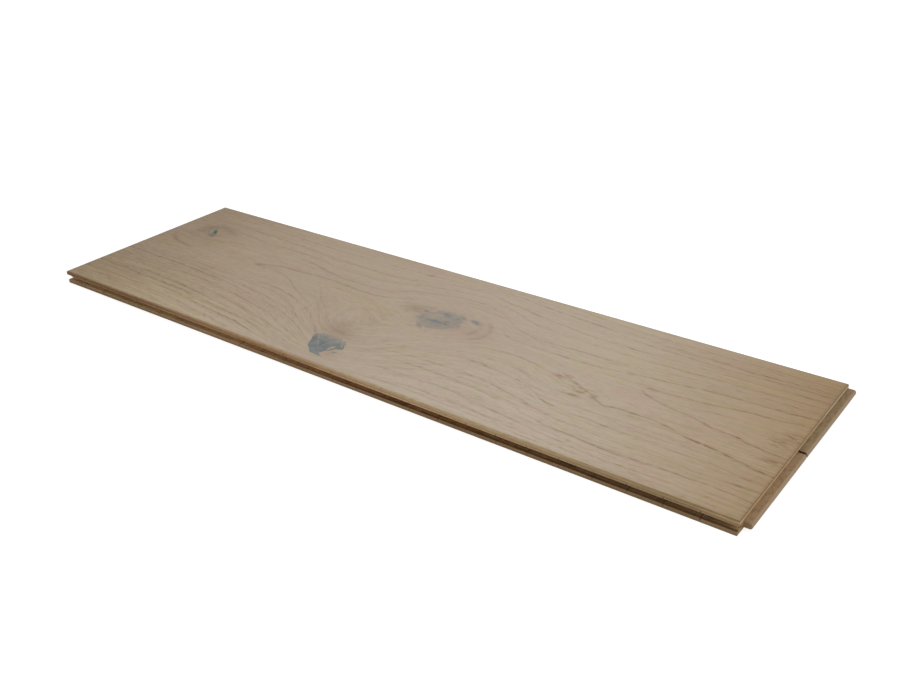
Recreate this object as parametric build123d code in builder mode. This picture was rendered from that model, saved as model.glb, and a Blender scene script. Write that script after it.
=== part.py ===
# Three-layer engineered floorboard with a tongue and groove on all four edges.
# Millimetres. The origin is the centre of the underside, +X runs along the board
# from the grooved end to the tongued end, +Y from the grooved side to the tongued side.
import os

from build123d import *

# Overall size of the walking face and of the board's thickness
face_length = 730.0
face_width = 220.0
board_thickness = 13.0

# Layers
oak_thickness = 3.0
veneer_thickness = 1.5
face_bevel = 0.8

# Slats of the crosswise core
slat_width = 27.6
slat_gap = 0.5
front_end_slat_length = 107.5
end_slat_butt_gap = 2.4

# Tongue and groove, the same on the sides and on the ends
tongue_length = 6.5
tongue_thickness = 4.6
tongue_nose_chamfer = 1.2
fit_clearance = 0.1
tip_clearance = 0.5
groove_lip_setback = 0.5
groove_lead_in = 0.4
tongue_shoulder_setback = 1.0

# Depth of the joint below the walking face
side_lip = 4.6
end_lip = 4.0

# Places worked out from the sizes above
left = -face_length / 2
right = face_length / 2
front = -face_width / 2
back = face_width / 2
core_low = veneer_thickness
core_high = board_thickness - oak_thickness
groove_depth = tongue_length + tip_clearance
groove_height = tongue_thickness + 2 * fit_clearance
slat_pitch = slat_width + slat_gap
slat_count = max(2, round(face_length / slat_pitch))


def joint_outline(groove_face, tongue_face, lip):
    """Section of the core between its grooved edge and its tongued edge."""
    groove_top = board_thickness - lip
    groove_low = groove_top - groove_height
    groove_back = groove_face + groove_depth
    lower_lip = groove_face + groove_lip_setback
    tongue_top = groove_top - fit_clearance
    tongue_low = tongue_top - tongue_thickness
    tongue_tip = tongue_face + tongue_length
    shoulder = tongue_face - tongue_shoulder_setback
    return [
        (groove_face, core_high),
        (tongue_face, core_high),
        (tongue_face, tongue_top),
        (tongue_tip - tongue_nose_chamfer, tongue_top),
        (tongue_tip, tongue_top - tongue_nose_chamfer),
        (tongue_tip, tongue_low + tongue_nose_chamfer),
        (tongue_tip - tongue_nose_chamfer, tongue_low),
        (shoulder, tongue_low),
        (shoulder, core_low),
        (lower_lip, core_low),
        (lower_lip, groove_low - groove_lead_in),
        (lower_lip + groove_lead_in, groove_low),
        (groove_back, groove_low),
        (groove_back, groove_top),
        (groove_face, groove_top),
    ]


def save(piece, name):
    """Label a finished piece and write it."""
    piece.part.label = name
    export_step(piece.part, f"parts/{name}.step")


os.makedirs("parts", exist_ok=True)

# Sawn oak wear layer, its top edges eased by a small bevel all round
with BuildPart() as oak_wear_layer:
    with BuildSketch(Plane.XY.offset(core_high)):
        Rectangle(face_length, face_width)
    extrude(amount=oak_thickness)
    chamfer(oak_wear_layer.faces().sort_by(Axis.Z)[-1].edges(), length=face_bevel)
save(oak_wear_layer, "oak_wear_layer")

# Backing veneer, set back under the groove lips and the tongue shoulders
veneer_left = left + groove_lip_setback
veneer_right = right - tongue_shoulder_setback
veneer_front = front + groove_lip_setback
veneer_back = back - tongue_shoulder_setback
with BuildPart() as backing_veneer:
    with BuildSketch(Plane.XY):
        with BuildLine():
            Polyline(
                (veneer_left, veneer_front),
                (veneer_right, veneer_front),
                (veneer_right, veneer_back),
                (veneer_left, veneer_back),
                close=True,
            )
        make_face()
    extrude(amount=veneer_thickness)
save(backing_veneer, "backing_veneer")

# Crosswise core slats. The side joint is milled across the end of every slat, and the
# first slat also carries the end groove, where its side tongue is trimmed away.
for slat in range(1, slat_count):
    slat_left = left + (slat - 1) * slat_pitch
    with BuildPart() as core_slat:
        with BuildSketch(Plane.YZ.offset(slat_left)):
            with BuildLine():
                Polyline(*joint_outline(front, back, side_lip), close=True)
            make_face()
        extrude(amount=slat_width)
        if slat == 1:
            with BuildSketch(Plane.XZ):
                with BuildLine():
                    Polyline(*joint_outline(left, right, end_lip), close=True)
                make_face()
            extrude(amount=face_width, both=True, mode=Mode.INTERSECT)
            with BuildSketch(Plane.XY):
                with Locations((left, back)):
                    Rectangle(groove_depth, tongue_length, align=Align.MIN)
            extrude(amount=board_thickness, mode=Mode.SUBTRACT)
    save(core_slat, f"core_slat_{slat:02d}")

# The last row of the core carries the end tongue and is two slats, butted with a gap.
# The end tongue starts behind the side groove, and the side tongue stops short of it.
end_row_left = left + (slat_count - 1) * slat_pitch
end_row_width = right + tongue_length - end_row_left
front_slat_end = front + front_end_slat_length
back_slat_start = front_slat_end + end_slat_butt_gap
end_slats = {
    "core_end_slat_front": (front, front_slat_end),
    "core_end_slat_back": (back_slat_start, back + tongue_length),
}
for name, (slat_front, slat_back) in end_slats.items():
    with BuildPart() as core_end_slat:
        with BuildSketch(Plane.YZ.offset(end_row_left)):
            with BuildLine():
                Polyline(*joint_outline(front, back, side_lip), close=True)
            make_face()
        extrude(amount=end_row_width)
        with BuildSketch(Plane.XZ):
            with BuildLine():
                Polyline(*joint_outline(left, right, end_lip), close=True)
            make_face()
        extrude(amount=face_width, both=True, mode=Mode.INTERSECT)
        with BuildSketch(Plane.XY):
            with Locations((right, front)):
                Rectangle(tongue_length, groove_depth, align=Align.MIN)
            with Locations((right - groove_depth, back)):
                Rectangle(groove_depth + tongue_length, tongue_length, align=Align.MIN)
        extrude(amount=board_thickness, mode=Mode.SUBTRACT)
        with BuildSketch(Plane.XY):
            with Locations((end_row_left, slat_front)):
                Rectangle(end_row_width, slat_back - slat_front, align=Align.MIN)
        extrude(amount=board_thickness, mode=Mode.INTERSECT)
    save(core_end_slat, name)
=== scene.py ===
# %% [markdown]
# # A three-layer oak floorboard
# The CAD model already has every piece of this board at its true size: the oak wear layer, the
# crosswise core slats with the tongue and groove milled into them, and the backing veneer. What it
# lacks is the wood itself. This lesson keeps those solids as they are and works on their finish.

# %% Load the frame
from math import cos, hypot, radians, sin

import bmesh
import bpy
from mathutils import Matrix, Vector


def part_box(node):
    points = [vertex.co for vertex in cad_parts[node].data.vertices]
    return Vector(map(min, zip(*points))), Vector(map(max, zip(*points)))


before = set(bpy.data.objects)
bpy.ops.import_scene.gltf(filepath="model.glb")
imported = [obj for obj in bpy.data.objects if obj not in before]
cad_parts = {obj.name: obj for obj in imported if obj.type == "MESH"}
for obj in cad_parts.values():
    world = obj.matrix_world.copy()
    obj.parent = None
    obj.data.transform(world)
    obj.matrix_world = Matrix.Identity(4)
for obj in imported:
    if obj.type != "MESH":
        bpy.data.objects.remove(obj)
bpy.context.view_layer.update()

# %% [markdown]
# ## Shader formulas
# Wood figure is mostly geometry: rings, fibres and knots are curves that a formula can describe.
# Wiring dozens of Math nodes by hand hides that formula, so a small class stands for "a value in
# the shader" and gives it ordinary arithmetic. Every operation still becomes a node of the tree.


# %% Arithmetic on shader values
class Wire:
    """A value that flows through a shader tree, written with ordinary arithmetic."""

    def __init__(self, socket):
        self.socket = socket
        self.tree = socket.id_data

    def math(self, operation, *others):
        node = self.tree.nodes.new("ShaderNodeMath")
        node.operation = operation
        for slot, value in zip(node.inputs, (self, *others)):
            feed(slot, value)
        return Wire(node.outputs[0])

    def __add__(self, other):
        return self.math("ADD", other)

    def __sub__(self, other):
        return self.math("SUBTRACT", other)

    def __mul__(self, other):
        return self.math("MULTIPLY", other)

    def __truediv__(self, other):
        return self.math("DIVIDE", other)

    def __rsub__(self, other):
        return self.math("MULTIPLY_ADD", -1.0, other)

    def at_least(self, other):
        return self.math("MAXIMUM", other)

    def at_most(self, other):
        return self.math("MINIMUM", other)

    def bell(self):
        """1 where the value is 0, falling off smoothly on both sides."""
        return (self * self * -1.0).math("EXPONENT")

    def step(self, low, high):
        """0 at low, 1 at high and smooth between; low may be the larger one."""
        node = self.tree.nodes.new("ShaderNodeMapRange")
        node.interpolation_type = "SMOOTHSTEP"
        feed(node.inputs["Value"], self)
        node.inputs["From Min"].default_value = min(low, high)
        node.inputs["From Max"].default_value = max(low, high)
        node.inputs["To Min"].default_value = 0.0 if low < high else 1.0
        node.inputs["To Max"].default_value = 1.0 if low < high else 0.0
        return Wire(node.outputs["Result"])


def feed(slot, value):
    """Link a wire to an input socket, or write a plain value on it."""
    if isinstance(value, Wire):
        slot.id_data.links.new(value.socket, slot)
    else:
        slot.default_value = value


# %% Noise and chance
def noise(x, y, z, detail=2.0, roughness=0.5):
    """Smooth noise round 0.5, with one cell for each unit of x, y and z."""
    tree = x.tree
    place = tree.nodes.new("ShaderNodeCombineXYZ")
    for slot, value in zip(place.inputs, (x, y, z)):
        feed(slot, value)
    node = tree.nodes.new("ShaderNodeTexNoise")
    tree.links.new(place.outputs[0], node.inputs["Vector"])
    node.inputs["Scale"].default_value = 1.0
    node.inputs["Detail"].default_value = detail
    node.inputs["Roughness"].default_value = roughness
    return Wire(node.outputs["Fac"])


def grain(cell, along, across, up, detail=2.0, roughness=0.5):
    """Noise whose cells have a size in millimetres along, across and up."""
    return noise(along / cell[0], across / cell[1], up / cell[2], detail, roughness)


def chance(number):
    """A random value between 0 and 1 that is the same for the same number."""
    node = number.tree.nodes.new("ShaderNodeTexWhiteNoise")
    node.noise_dimensions = "1D"
    feed(node.inputs["W"], number)
    return Wire(node.outputs["Value"])


# %% Colour
def linear(level):
    """One level of a screen colour, 0 to 255, made linear by the standard curve."""
    share = level / 255.0
    return share / 12.92 if share <= 0.04045 else ((share + 0.055) / 1.055) ** 2.4


def tint(red, green, blue):
    """A colour as a paint chart gives it, made linear for the shader."""
    return (linear(red), linear(green), linear(blue), 1.0)


# A Mix node has sockets for every kind of value; these are the ones for colours
MIX_SHARE = 0
MIX_FIRST = 6
MIX_SECOND = 7
MIX_RESULT = 2


def mixed(share, first, second, blend="MIX"):
    """One colour laid over another by a share between 0 and 1."""
    node = share.tree.nodes.new("ShaderNodeMix")
    node.data_type = "RGBA"
    node.blend_type = blend
    feed(node.inputs[MIX_SHARE], share)
    feed(node.inputs[MIX_FIRST], first)
    feed(node.inputs[MIX_SECOND], second)
    return Wire(node.outputs[MIX_RESULT])


def glazed(share, base, glaze):
    """A thin see-through glaze: it multiplies the colour below it."""
    return mixed(share, base, glaze, "MULTIPLY")


def tint_ramp(share, stops):
    """Colours that run into one another as the share goes from 0 to 1."""
    node = share.tree.nodes.new("ShaderNodeValToRGB")
    ramp = node.color_ramp
    ramp.interpolation = "CARDINAL"
    while len(ramp.elements) < len(stops):
        ramp.elements.new(1.0)
    for element, (position, color) in zip(ramp.elements, stops):
        element.position = position
        element.color = color
    feed(node.inputs["Fac"], share)
    return Wire(node.outputs["Color"])


# %% Materials
def new_finish(name, gloss):
    """A node material and its main shader; gloss is the specular level of the surface."""
    finish = bpy.data.materials.new(name)
    finish.use_nodes = True
    shader = finish.node_tree.nodes["Principled BSDF"]
    shader.inputs["Specular IOR Level"].default_value = gloss
    return finish, shader


def emboss(shader, height, depth_m, strength):
    """Shallow relief from a height between 0 and 1."""
    node = height.tree.nodes.new("ShaderNodeBump")
    feed(node.inputs["Height"], height)
    node.inputs["Distance"].default_value = depth_m
    node.inputs["Strength"].default_value = strength
    feed(shader.inputs["Normal"], Wire(node.outputs[0]))


# %% [markdown]
# ## A ruler on the board
# Every figure below is placed in millimetres on the face: along from the grooved left end, across
# from the grooved front side, and up from the underside. The numbers come from the CAD box, so the
# finish stays in register with the solids. Object coordinates give the place, and the face's own
# normal tells the walking face from the sawn sides.

# %% Places in millimetres
MM = 1000.0
oak_low, oak_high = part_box("oak_wear_layer")
board_length = (oak_high.x - oak_low.x) * MM
board_width = (oak_high.y - oak_low.y) * MM
face_height = oak_high.z * MM
oak_underside = oak_low.z * MM
print("walking face", round(board_length), "by", round(board_width), "mm, at", round(face_height, 1))


def place_on_board(tree):
    """Along, across and up, in millimetres."""
    coordinates = tree.nodes.new("ShaderNodeTexCoord")
    parts = tree.nodes.new("ShaderNodeSeparateXYZ")
    tree.links.new(coordinates.outputs["Object"], parts.inputs[0])
    along = (Wire(parts.outputs[0]) - oak_low.x) * MM
    across = (Wire(parts.outputs[1]) - oak_low.y) * MM
    up = Wire(parts.outputs[2]) * MM
    return along, across, up


def facing(tree):
    """The three parts of the face's own normal."""
    geometry = tree.nodes.new("ShaderNodeNewGeometry")
    parts = tree.nodes.new("ShaderNodeSeparateXYZ")
    tree.links.new(geometry.outputs["True Normal"], parts.inputs[0])
    return [Wire(output) for output in parts.outputs]


def along_ramp(along, stops):
    """Colours that drift along the board; the stops are in millimetres."""
    return tint_ramp(along / board_length, [(x / board_length, color) for x, color in stops])


def zone(x, y, long, wide, **more):
    """A part of the face: its centre and its reach in millimetres, and what else belongs to it."""
    return {"centre": (x, y), "reach": (long, wide), **more}


# %% [markdown]
# ## Growth rings
# A plain-sawn board cuts the log's rings at a shallow angle, so they show as long lines, as pointed
# arches where the cut runs out of a ring, and as loops round the knots. A formula for a whole log
# never bends quite as a given board does. So the main rings are drawn as a row of points each; a
# curve node makes each one smooth. Between two neighbours the shader measures how far across the
# gap a point lies, and the fainter rings follow from that.

# %% Rings of the front
# Each has a path in millimetres along and across, and how dark it shows along the board
front_ring = {
    "path": [(0, 16), (30, 15.5), (60, 13), (90, 10.5), (135, 6.5), (200, 0), (330, -6), (395, 7),
             (425, 9.7), (470, 9.5), (560, 5), (730, 3)],
    "ink": [(0, 0.5), (60, 0.6), (120, 0.6), (160, 0.1), (380, 0.2), (425, 0.6), (500, 0.4), (730, 0.3)],
}
edge_ring = {
    "path": [(0, 26), (60, 24), (110, 20), (150, 16.5), (185, 11.5), (200, 10.8), (215, 8), (250, 2),
             (330, -3), (395, 10), (430, 14.5), (480, 15.5), (520, 12.5), (600, 7), (730, 6)],
    "ink": [(0, 0.3), (60, 0.5), (110, 0.5), (185, 0.8), (215, 0.7), (260, 0.1), (400, 0.3), (480, 0.6),
            (560, 0.4), (730, 0.3)],
}
low_ring = {
    "path": [(0, 35.5), (60, 34), (110, 31), (150, 27), (190, 21.5), (205, 20.5), (225, 18), (245, 14),
             (275, 8), (316, 2), (360, 11), (394, 26), (428, 27.3), (455, 29.3), (475, 28.2), (490, 26),
             (513, 23.2), (540, 20), (560, 17.5), (580, 15), (600, 13.3), (620, 12), (650, 12.7),
             (690, 13.2), (730, 12)],
    "ink": [(0, 0.3), (60, 0.4), (120, 0.5), (180, 0.9), (200, 1.2), (245, 1.1), (280, 0.2), (385, 0.2),
            (405, 0.4), (428, 0.6), (455, 0.45), (513, 0.6), (560, 0.6), (600, 0.5), (642, 0.9), (656, 0.4),
            (686, 0.5), (730, 0.3)],
}
second_low_ring = {
    "path": [(0, 40.5), (50, 40.3), (100, 38.8), (130, 37), (160, 34.5), (195, 28.5), (212, 27.9),
             (230, 26.5), (252, 22), (265, 19.7), (290, 14), (318, 8), (350, 18), (368, 30), (390, 34),
             (430, 35.5), (480, 34.5), (530, 28), (570, 21), (600, 18.5), (650, 19), (730, 17.5)],
    "ink": [(0, 0.6), (40, 0.8), (70, 1.2), (130, 1.1), (170, 0.5), (198, 0.9), (240, 0.9), (262, 0.5),
            (300, 0.2), (360, 0.1), (440, 0.2), (560, 0.2), (730, 0.2)],
}
fork_ring = {
    "path": [(0, 43), (40, 42.6), (60, 45.5), (75, 47.5), (100, 46.1), (130, 44), (150, 41.4), (190, 36.5),
             (225, 32), (275, 22), (318, 13), (351, 24), (367, 37), (385, 42), (436, 45.2), (480, 43.5),
             (510, 39), (560, 28.5), (590, 26), (620, 24), (650, 25.2), (700, 26), (730, 23.5)],
    "ink": [(0, 0.9), (40, 0.7), (60, 0.7), (80, 1.4), (140, 1.3), (190, 0.5), (240, 0.4), (300, 0.3),
            (360, 0.1), (440, 0.6), (470, 0.5), (510, 0.2), (550, 0.5), (580, 0.9), (620, 1.0), (700, 0.9),
            (730, 0.7)],
}
front_rings = [front_ring, edge_ring, low_ring, second_low_ring, fork_ring]
print("front rings", len(front_rings))

# %% Rings of the middle
half_ring = {
    "path": [(0, 54), (45, 56.5), (85, 57), (120, 55), (160, 50.5), (200, 44), (240, 36), (280, 26),
             (318, 17), (351, 30), (364, 43), (390, 49), (440, 51.5), (490, 49), (530, 38.5), (570, 31.5),
             (620, 30.5), (700, 31.5), (730, 30.5)],
    "ink": [(0, 0.1), (60, 0.6), (125, 0.6), (150, 0.4), (190, 0.5), (240, 0.5), (300, 0.3), (350, 0.1),
            (440, 0.2), (560, 0.1), (680, 0.3), (730, 0.3)],
}
third_ring = {
    "path": [(0, 62), (60, 63.5), (120, 66), (140, 65), (165, 61.5), (190, 58), (240, 47.5), (290, 29),
             (322, 21), (349, 34), (361, 47), (385, 53.5), (400, 55.5), (430, 58), (460, 59.2),
             (470, 58.5), (490, 56.5), (505, 53.5), (520, 49.5), (545, 44), (570, 39.5), (600, 38.3),
             (650, 37.5), (680, 36.5), (711, 37.3), (730, 38)],
    "ink": [(0, 0.2), (110, 0.3), (135, 0.6), (180, 0.6), (230, 0.5), (290, 0.35), (350, 0.1), (385, 0.4),
            (425, 0.55), (470, 0.7), (520, 0.55), (545, 0.55), (570, 0.5), (600, 0.3), (650, 0.4),
            (700, 0.3), (712, 1.0), (724, 1.0), (730, 0.5)],
}
kink_ring = {
    "path": [(0, 80), (30, 79), (60, 79), (100, 78), (120, 77), (140, 75.5), (165, 72.5), (200, 67),
             (235, 60.5), (270, 50), (285, 43.5), (300, 35), (325, 26), (347, 42), (360, 55), (382, 64),
             (420, 72), (455, 79.5), (470, 79), (485, 77.2), (500, 75), (515, 71), (530, 64), (541, 57.5),
             (552, 54.5), (585, 53.5), (600, 52), (640, 51.5), (690, 51), (705, 48.5), (730, 47)],
    "ink": [(0, 1.2), (60, 1.4), (100, 1.5), (120, 1.4), (145, 0.7), (200, 0.4), (235, 0.35), (270, 0.35),
            (285, 0.4), (300, 0.3), (330, 0.2), (380, 0.2), (448, 0.3), (460, 0.7), (475, 0.6), (500, 0.5),
            (530, 0.5), (543, 1.0), (555, 0.3), (585, 0.7), (610, 0.5), (690, 0.4), (705, 0.6), (730, 0.7)],
}
mid_ring = {
    "path": [(0, 87), (60, 86), (110, 85), (135, 80.5), (165, 79), (200, 74.5), (235, 68), (270, 58),
             (290, 49), (302, 42), (325, 33), (345, 48), (359, 61), (382, 71), (420, 82), (455, 90),
             (480, 90), (510, 86), (545, 72), (575, 66), (620, 66), (660, 62), (700, 57), (730, 53)],
    "ink": [(0, 0.2), (60, 0.2), (110, 0.5), (130, 0.5), (165, 0.4), (200, 0.45), (250, 0.35), (290, 0.28),
            (330, 0.2), (400, 0.2), (470, 0.2), (560, 0.1), (640, 0.2), (730, 0.3)],
}
pore_ring = {
    "path": [(0, 93), (90, 92), (120, 91), (160, 91), (205, 92.5), (222, 89.8), (240, 85), (255, 80),
             (265, 75), (280, 66), (293, 57), (303, 49), (320, 40), (343, 54), (358, 67), (386, 78.5),
             (433, 98), (478, 108), (500, 106.5), (518, 101), (532, 98.5), (548, 97), (556, 92), (567, 87),
             (578, 80.5), (583, 79), (590, 80.5), (612, 81), (633, 80), (645, 76.5), (660, 72.5),
             (680, 70.3), (697, 67), (715, 62.5), (730, 60.5)],
    "ink": [(0, 0.1), (80, 0.2), (95, 0.7), (120, 0.6), (140, 0.2), (200, 0.4), (215, 0.7), (250, 0.4),
            (280, 0.3), (300, 0.3), (330, 0.2), (420, 0.1), (480, 0.7), (508, 0.6), (525, 0.4), (562, 0.4),
            (574, 0.8), (584, 1.1), (600, 1.3), (635, 0.9), (650, 0.9), (662, 1.8), (730, 1.8)],
}

middle_rings = [half_ring, third_ring, kink_ring, mid_ring, pore_ring]
print("middle rings", len(middle_rings))

# %% Arches
arch_low_ring = {
    "path": [(0, 120), (151, 121.8), (165, 120.8), (185, 119.5), (200, 116.5), (212, 111), (225, 102.5),
             (240, 94.5), (262, 84), (285, 71), (305, 55), (321, 46), (347, 69), (363, 81),
             (414, 99.5), (440, 110.5), (470, 116), (595, 116.5), (599, 115), (604, 112), (612, 109),
             (630, 104.5), (650, 101.5), (660, 98), (670, 96), (685, 95), (695, 92), (702, 90.5),
             (715, 88.5), (730, 87)],
    "ink": [(0, 0.0), (149, 0.0), (153, 0.7), (165, 0.45), (190, 0.5), (215, 0.45), (240, 0.33),
            (270, 0.25), (300, 0.2), (330, 0.2), (420, 0.1), (590, 0.0), (599, 0.6), (612, 0.8),
            (650, 0.9), (668, 1.0), (680, 0.5), (692, 1.0), (730, 0.9)],
}
bow_low_ring = {
    "path": [(0, 120.6), (151, 122.4), (248, 117), (251, 112), (256, 106), (263, 99.5), (271, 93),
             (282, 85), (300, 69), (321, 58), (350, 78), (366, 87), (414, 101.5), (470, 116.6),
             (594, 117.1), (612, 114.5), (640, 113), (660, 117), (690, 118.5), (716, 118), (722, 116),
             (730, 112)],
    "ink": [(0, 0.0), (246, 0.0), (252, 0.4), (262, 0.5), (280, 0.35), (300, 0.2), (350, 0.1), (440, 0.0),
            (640, 0.0), (655, 0.5), (670, 0.4), (700, 0.2), (716, 0.3), (722, 0.8), (730, 0.9)],
}
arch_tip_ring = {
    "path": [(0, 121.2), (151, 123), (200, 124), (248, 118), (254, 122), (262, 124.3), (290, 125.5),
             (320, 119), (380, 102), (414, 103), (470, 117.2), (594, 117.7), (598, 119.5), (602, 122),
             (612, 122.3), (630, 125), (650, 127), (665, 130), (685, 133), (705, 135), (730, 139)],
    "ink": [(0, 0.0), (248, 0.0), (254, 0.5), (265, 0.4), (300, 0.2), (340, 0.1), (440, 0.1), (592, 0.0),
            (600, 0.7), (604, 0.9), (615, 0.4), (640, 0.8), (700, 1.0), (730, 0.9)],
}
arch_high_ring = {
    "path": [(0, 121.8), (151, 123.4), (158, 124.6), (165, 127.4), (175, 131.3), (190, 133.2), (210, 134),
             (230, 136), (245, 135.5), (265, 134.5), (295, 133), (312, 135.5), (355, 156), (392, 161),
             (420, 154), (445, 141), (460, 132), (480, 130.3), (530, 129.7), (545, 131), (560, 132.7),
             (575, 135.5), (600, 139.5), (615, 140.8), (630, 144), (650, 146.5), (680, 147.6),
             (700, 148.8), (730, 151.6)],
    "ink": [(0, 0.0), (149, 0.0), (153, 0.7), (175, 0.9), (225, 1.0), (265, 1.0), (300, 0.8), (320, 0.3),
            (400, 0.1), (445, 0.3), (465, 0.65), (490, 0.65), (520, 0.8), (545, 0.65), (562, 0.4),
            (575, 0.8), (600, 0.9), (630, 0.6), (655, 1.0), (730, 1.0)],
}
arches = [arch_low_ring, bow_low_ring, arch_tip_ring, arch_high_ring]
print("arches", len(arches))

# %% Rings of the back
second_high_ring = {
    "path": [(0, 149), (25, 143), (48, 139), (72, 143), (110, 153), (150, 158), (195, 157), (205, 155.5),
             (215, 152.5), (228, 149), (262, 145.5), (300, 146.5), (330, 162), (345, 166.5), (378, 175),
             (400, 176), (420, 172), (465, 147.5), (485, 144), (515, 145.2), (545, 145.9), (575, 148),
             (607, 153.5), (650, 158), (730, 161)],
    "ink": [(0, 0.2), (70, 0.3), (130, 0.1), (190, 0.3), (205, 0.9), (230, 0.8), (262, 0.5), (300, 0.5),
            (330, 0.6), (360, 0.4), (400, 0.4), (440, 0.3), (480, 0.5), (510, 0.5), (540, 0.7), (552, 0.6),
            (565, 0.2), (600, 0.3), (640, 0.4), (680, 0.55), (730, 0.55)],
}
third_high_ring = {
    "path": [(0, 175), (55, 178), (80, 173), (110, 170), (156, 170), (200, 168), (240, 162), (290, 164),
             (325, 176), (360, 184), (390, 188), (420, 183), (452, 172), (460, 169), (467, 166.5),
             (473, 165.7), (498, 163.5), (571, 163), (640, 166), (730, 171)],
    "ink": [(0, 0.2), (60, 0.5), (110, 0.1), (170, 0.6), (200, 0.5), (240, 0.2), (330, 0.4), (390, 0.3),
            (440, 0.3), (455, 0.45), (472, 0.5), (482, 0.3), (540, 0.3), (600, 0.3), (660, 0.55),
            (730, 0.75)],
}
long_high_ring = {
    "path": [(0, 189), (50, 190), (102, 186), (160, 183.5), (205, 178.7), (245, 177.6), (290, 177.5),
             (330, 187), (389, 198), (422, 190.5), (435, 188.5), (448, 186), (480, 181), (510, 177),
             (550, 175), (580, 175.3), (650, 178), (690, 179), (730, 180)],
    "ink": [(0, 0.1), (90, 0.4), (160, 0.5), (205, 0.4), (245, 0.45), (290, 0.4), (320, 0.3), (390, 0.4),
            (422, 0.8), (448, 0.8), (470, 0.4), (510, 0.6), (540, 0.5), (550, 0.9), (565, 0.8), (590, 0.4),
            (650, 0.4), (690, 0.6), (730, 0.8)],
}
fourth_high_ring = {
    "path": [(0, 203), (100, 202), (200, 197.5), (280, 198.5), (320, 199.5), (389, 208), (430, 206),
             (480, 200.5), (520, 197.5), (560, 189.5), (590, 188), (640, 186.5), (690, 189.5), (730, 189)],
    "ink": [(0, 0.2), (200, 0.3), (312, 0.2), (319, 0.9), (325, 0.2), (420, 0.3), (480, 0.7), (520, 0.7),
            (545, 0.3), (575, 0.7), (600, 0.7), (640, 0.55), (690, 0.9), (730, 0.9)],
}
fifth_high_ring = {
    "path": [(0, 210), (200, 206), (365, 213), (450, 212), (560, 198.5), (610, 195.5), (670, 194),
             (700, 196), (730, 196)],
    "ink": [(0, 0.2), (365, 0.2), (540, 0.35), (615, 0.7), (670, 0.9), (730, 0.65)],
}
back_ring = {
    "path": [(0, 216), (200, 212), (365, 218), (450, 217), (560, 207), (657, 206.5), (730, 206)],
    "ink": [(0, 0.2), (365, 0.2), (560, 0.5), (640, 0.4), (655, 0.8), (665, 0.45), (700, 0.6), (730, 0.9)],
}
back_rings = [
    second_high_ring, third_high_ring, long_high_ring, fourth_high_ring, fifth_high_ring, back_ring,
]
main_rings = front_rings + middle_rings + arches + back_rings
print("main rings", len(main_rings), "points", sum(len(ring["path"]) for ring in main_rings))


# %% From points to shader curves
def drawn_curve(along, points, full_scale):
    """A smooth curve through points, read at a place along the board."""
    node = along.tree.nodes.new("ShaderNodeFloatCurve")
    mapping = node.mapping
    mapping.use_clip = False
    curve = mapping.curves[0]
    first, *between, last = [(x / board_length, y / full_scale) for x, y in points]
    curve.points[0].location = first
    curve.points[1].location = last
    for x, y in between:
        curve.points.new(x, y)
    for point in curve.points:
        point.handle_type = "AUTO_CLAMPED"
    mapping.update()
    feed(node.inputs["Value"], along / board_length)
    return Wire(node.outputs[0]) * full_scale


# %% Rings in the shader
darkest_ink = 2.0
main_ring_width = 1.15
narrowest_gap = 0.3
just_inside = 0.00001
ring_seed = 17.0
left_ring_spread = 0.55
left_ring_fade = 0.25
left_ring_reach = (320.0, 120.0)
fine_ring_width = 0.9
fine_per_gap = 3.0
fine_needs_gap = (2.0, 8.0)
fine_ring_places = [
    zone(670, 185, 110, 42, share=0.8),
    zone(75, 38, 90, 40, share=0.5),
]


def growth_rings(along, across):
    """Ink of the main rings, ink of the fainter ones between them, and a count of rings."""
    paths = [drawn_curve(along, ring["path"], board_width) for ring in main_rings]
    main = across * 0.0
    count = across * 0.0
    room = across * 0.0
    left = along.step(*left_ring_reach)
    width = left * left_ring_spread + main_ring_width
    for path, ring in zip(paths, main_rings):
        ink = drawn_curve(along, ring["ink"], darkest_ink)
        main = main.at_least(((across - path) / width).bell() * ink)
    main = main * (1.0 - left * left_ring_fade)
    for lower, upper in zip(paths, paths[1:]):
        gap = (upper - lower).at_least(narrowest_gap)
        share = ((across - lower) / gap).at_least(0.0).at_most(1.0)
        inside = (share * (1.0 - share)).math("GREATER_THAN", just_inside)
        count = count + share
        room = room + gap * inside
    fine_count = count * fine_per_gap
    number = fine_count.math("ROUND")
    away = (fine_count - number) * room / fine_per_gap
    luck = chance(number + ring_seed)
    fine = (away / fine_ring_width).bell() * luck * luck * room.step(*fine_needs_gap)
    return main, fine, count


# %% [markdown]
# ## Fibres
# Fibres are not rings. They run straight along the board through the arches, and only knots push
# them aside. So they get a coordinate of their own: the across value, pulled down or up by a smooth
# hill at each knot, or spread round it. Noise that is stretched along this coordinate gives streaks
# and the short dark pores of oak.

# %% Bending the fibres
fibre_pulls = [
    zone(330, 47, 80, 52, pull=57),
    zone(476, 102, 52, 42, pull=-22),
    zone(420, 62, 60, 40, pull=-6),
    zone(285, 168, 110, 36, pull=8),
]
fibre_partings = [
    zone(391, 130, 60, 34, share=0.9),
    zone(50, 158, 30, 20, share=0.85),
]
fibre_wander = 8.0
wander_cell = (150.0, 50.0, 60.0)
print("places that bend the fibres", len(fibre_pulls) + len(fibre_partings))


def hill(along, across, centre, reach):
    """A smooth hill, 1 at its centre and fading over its reach along and across."""
    far_along = (along - centre[0]) / reach[0]
    far_across = (across - centre[1]) / reach[1]
    return ((far_along * far_along + far_across * far_across) * -1.0).math("EXPONENT")


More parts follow.
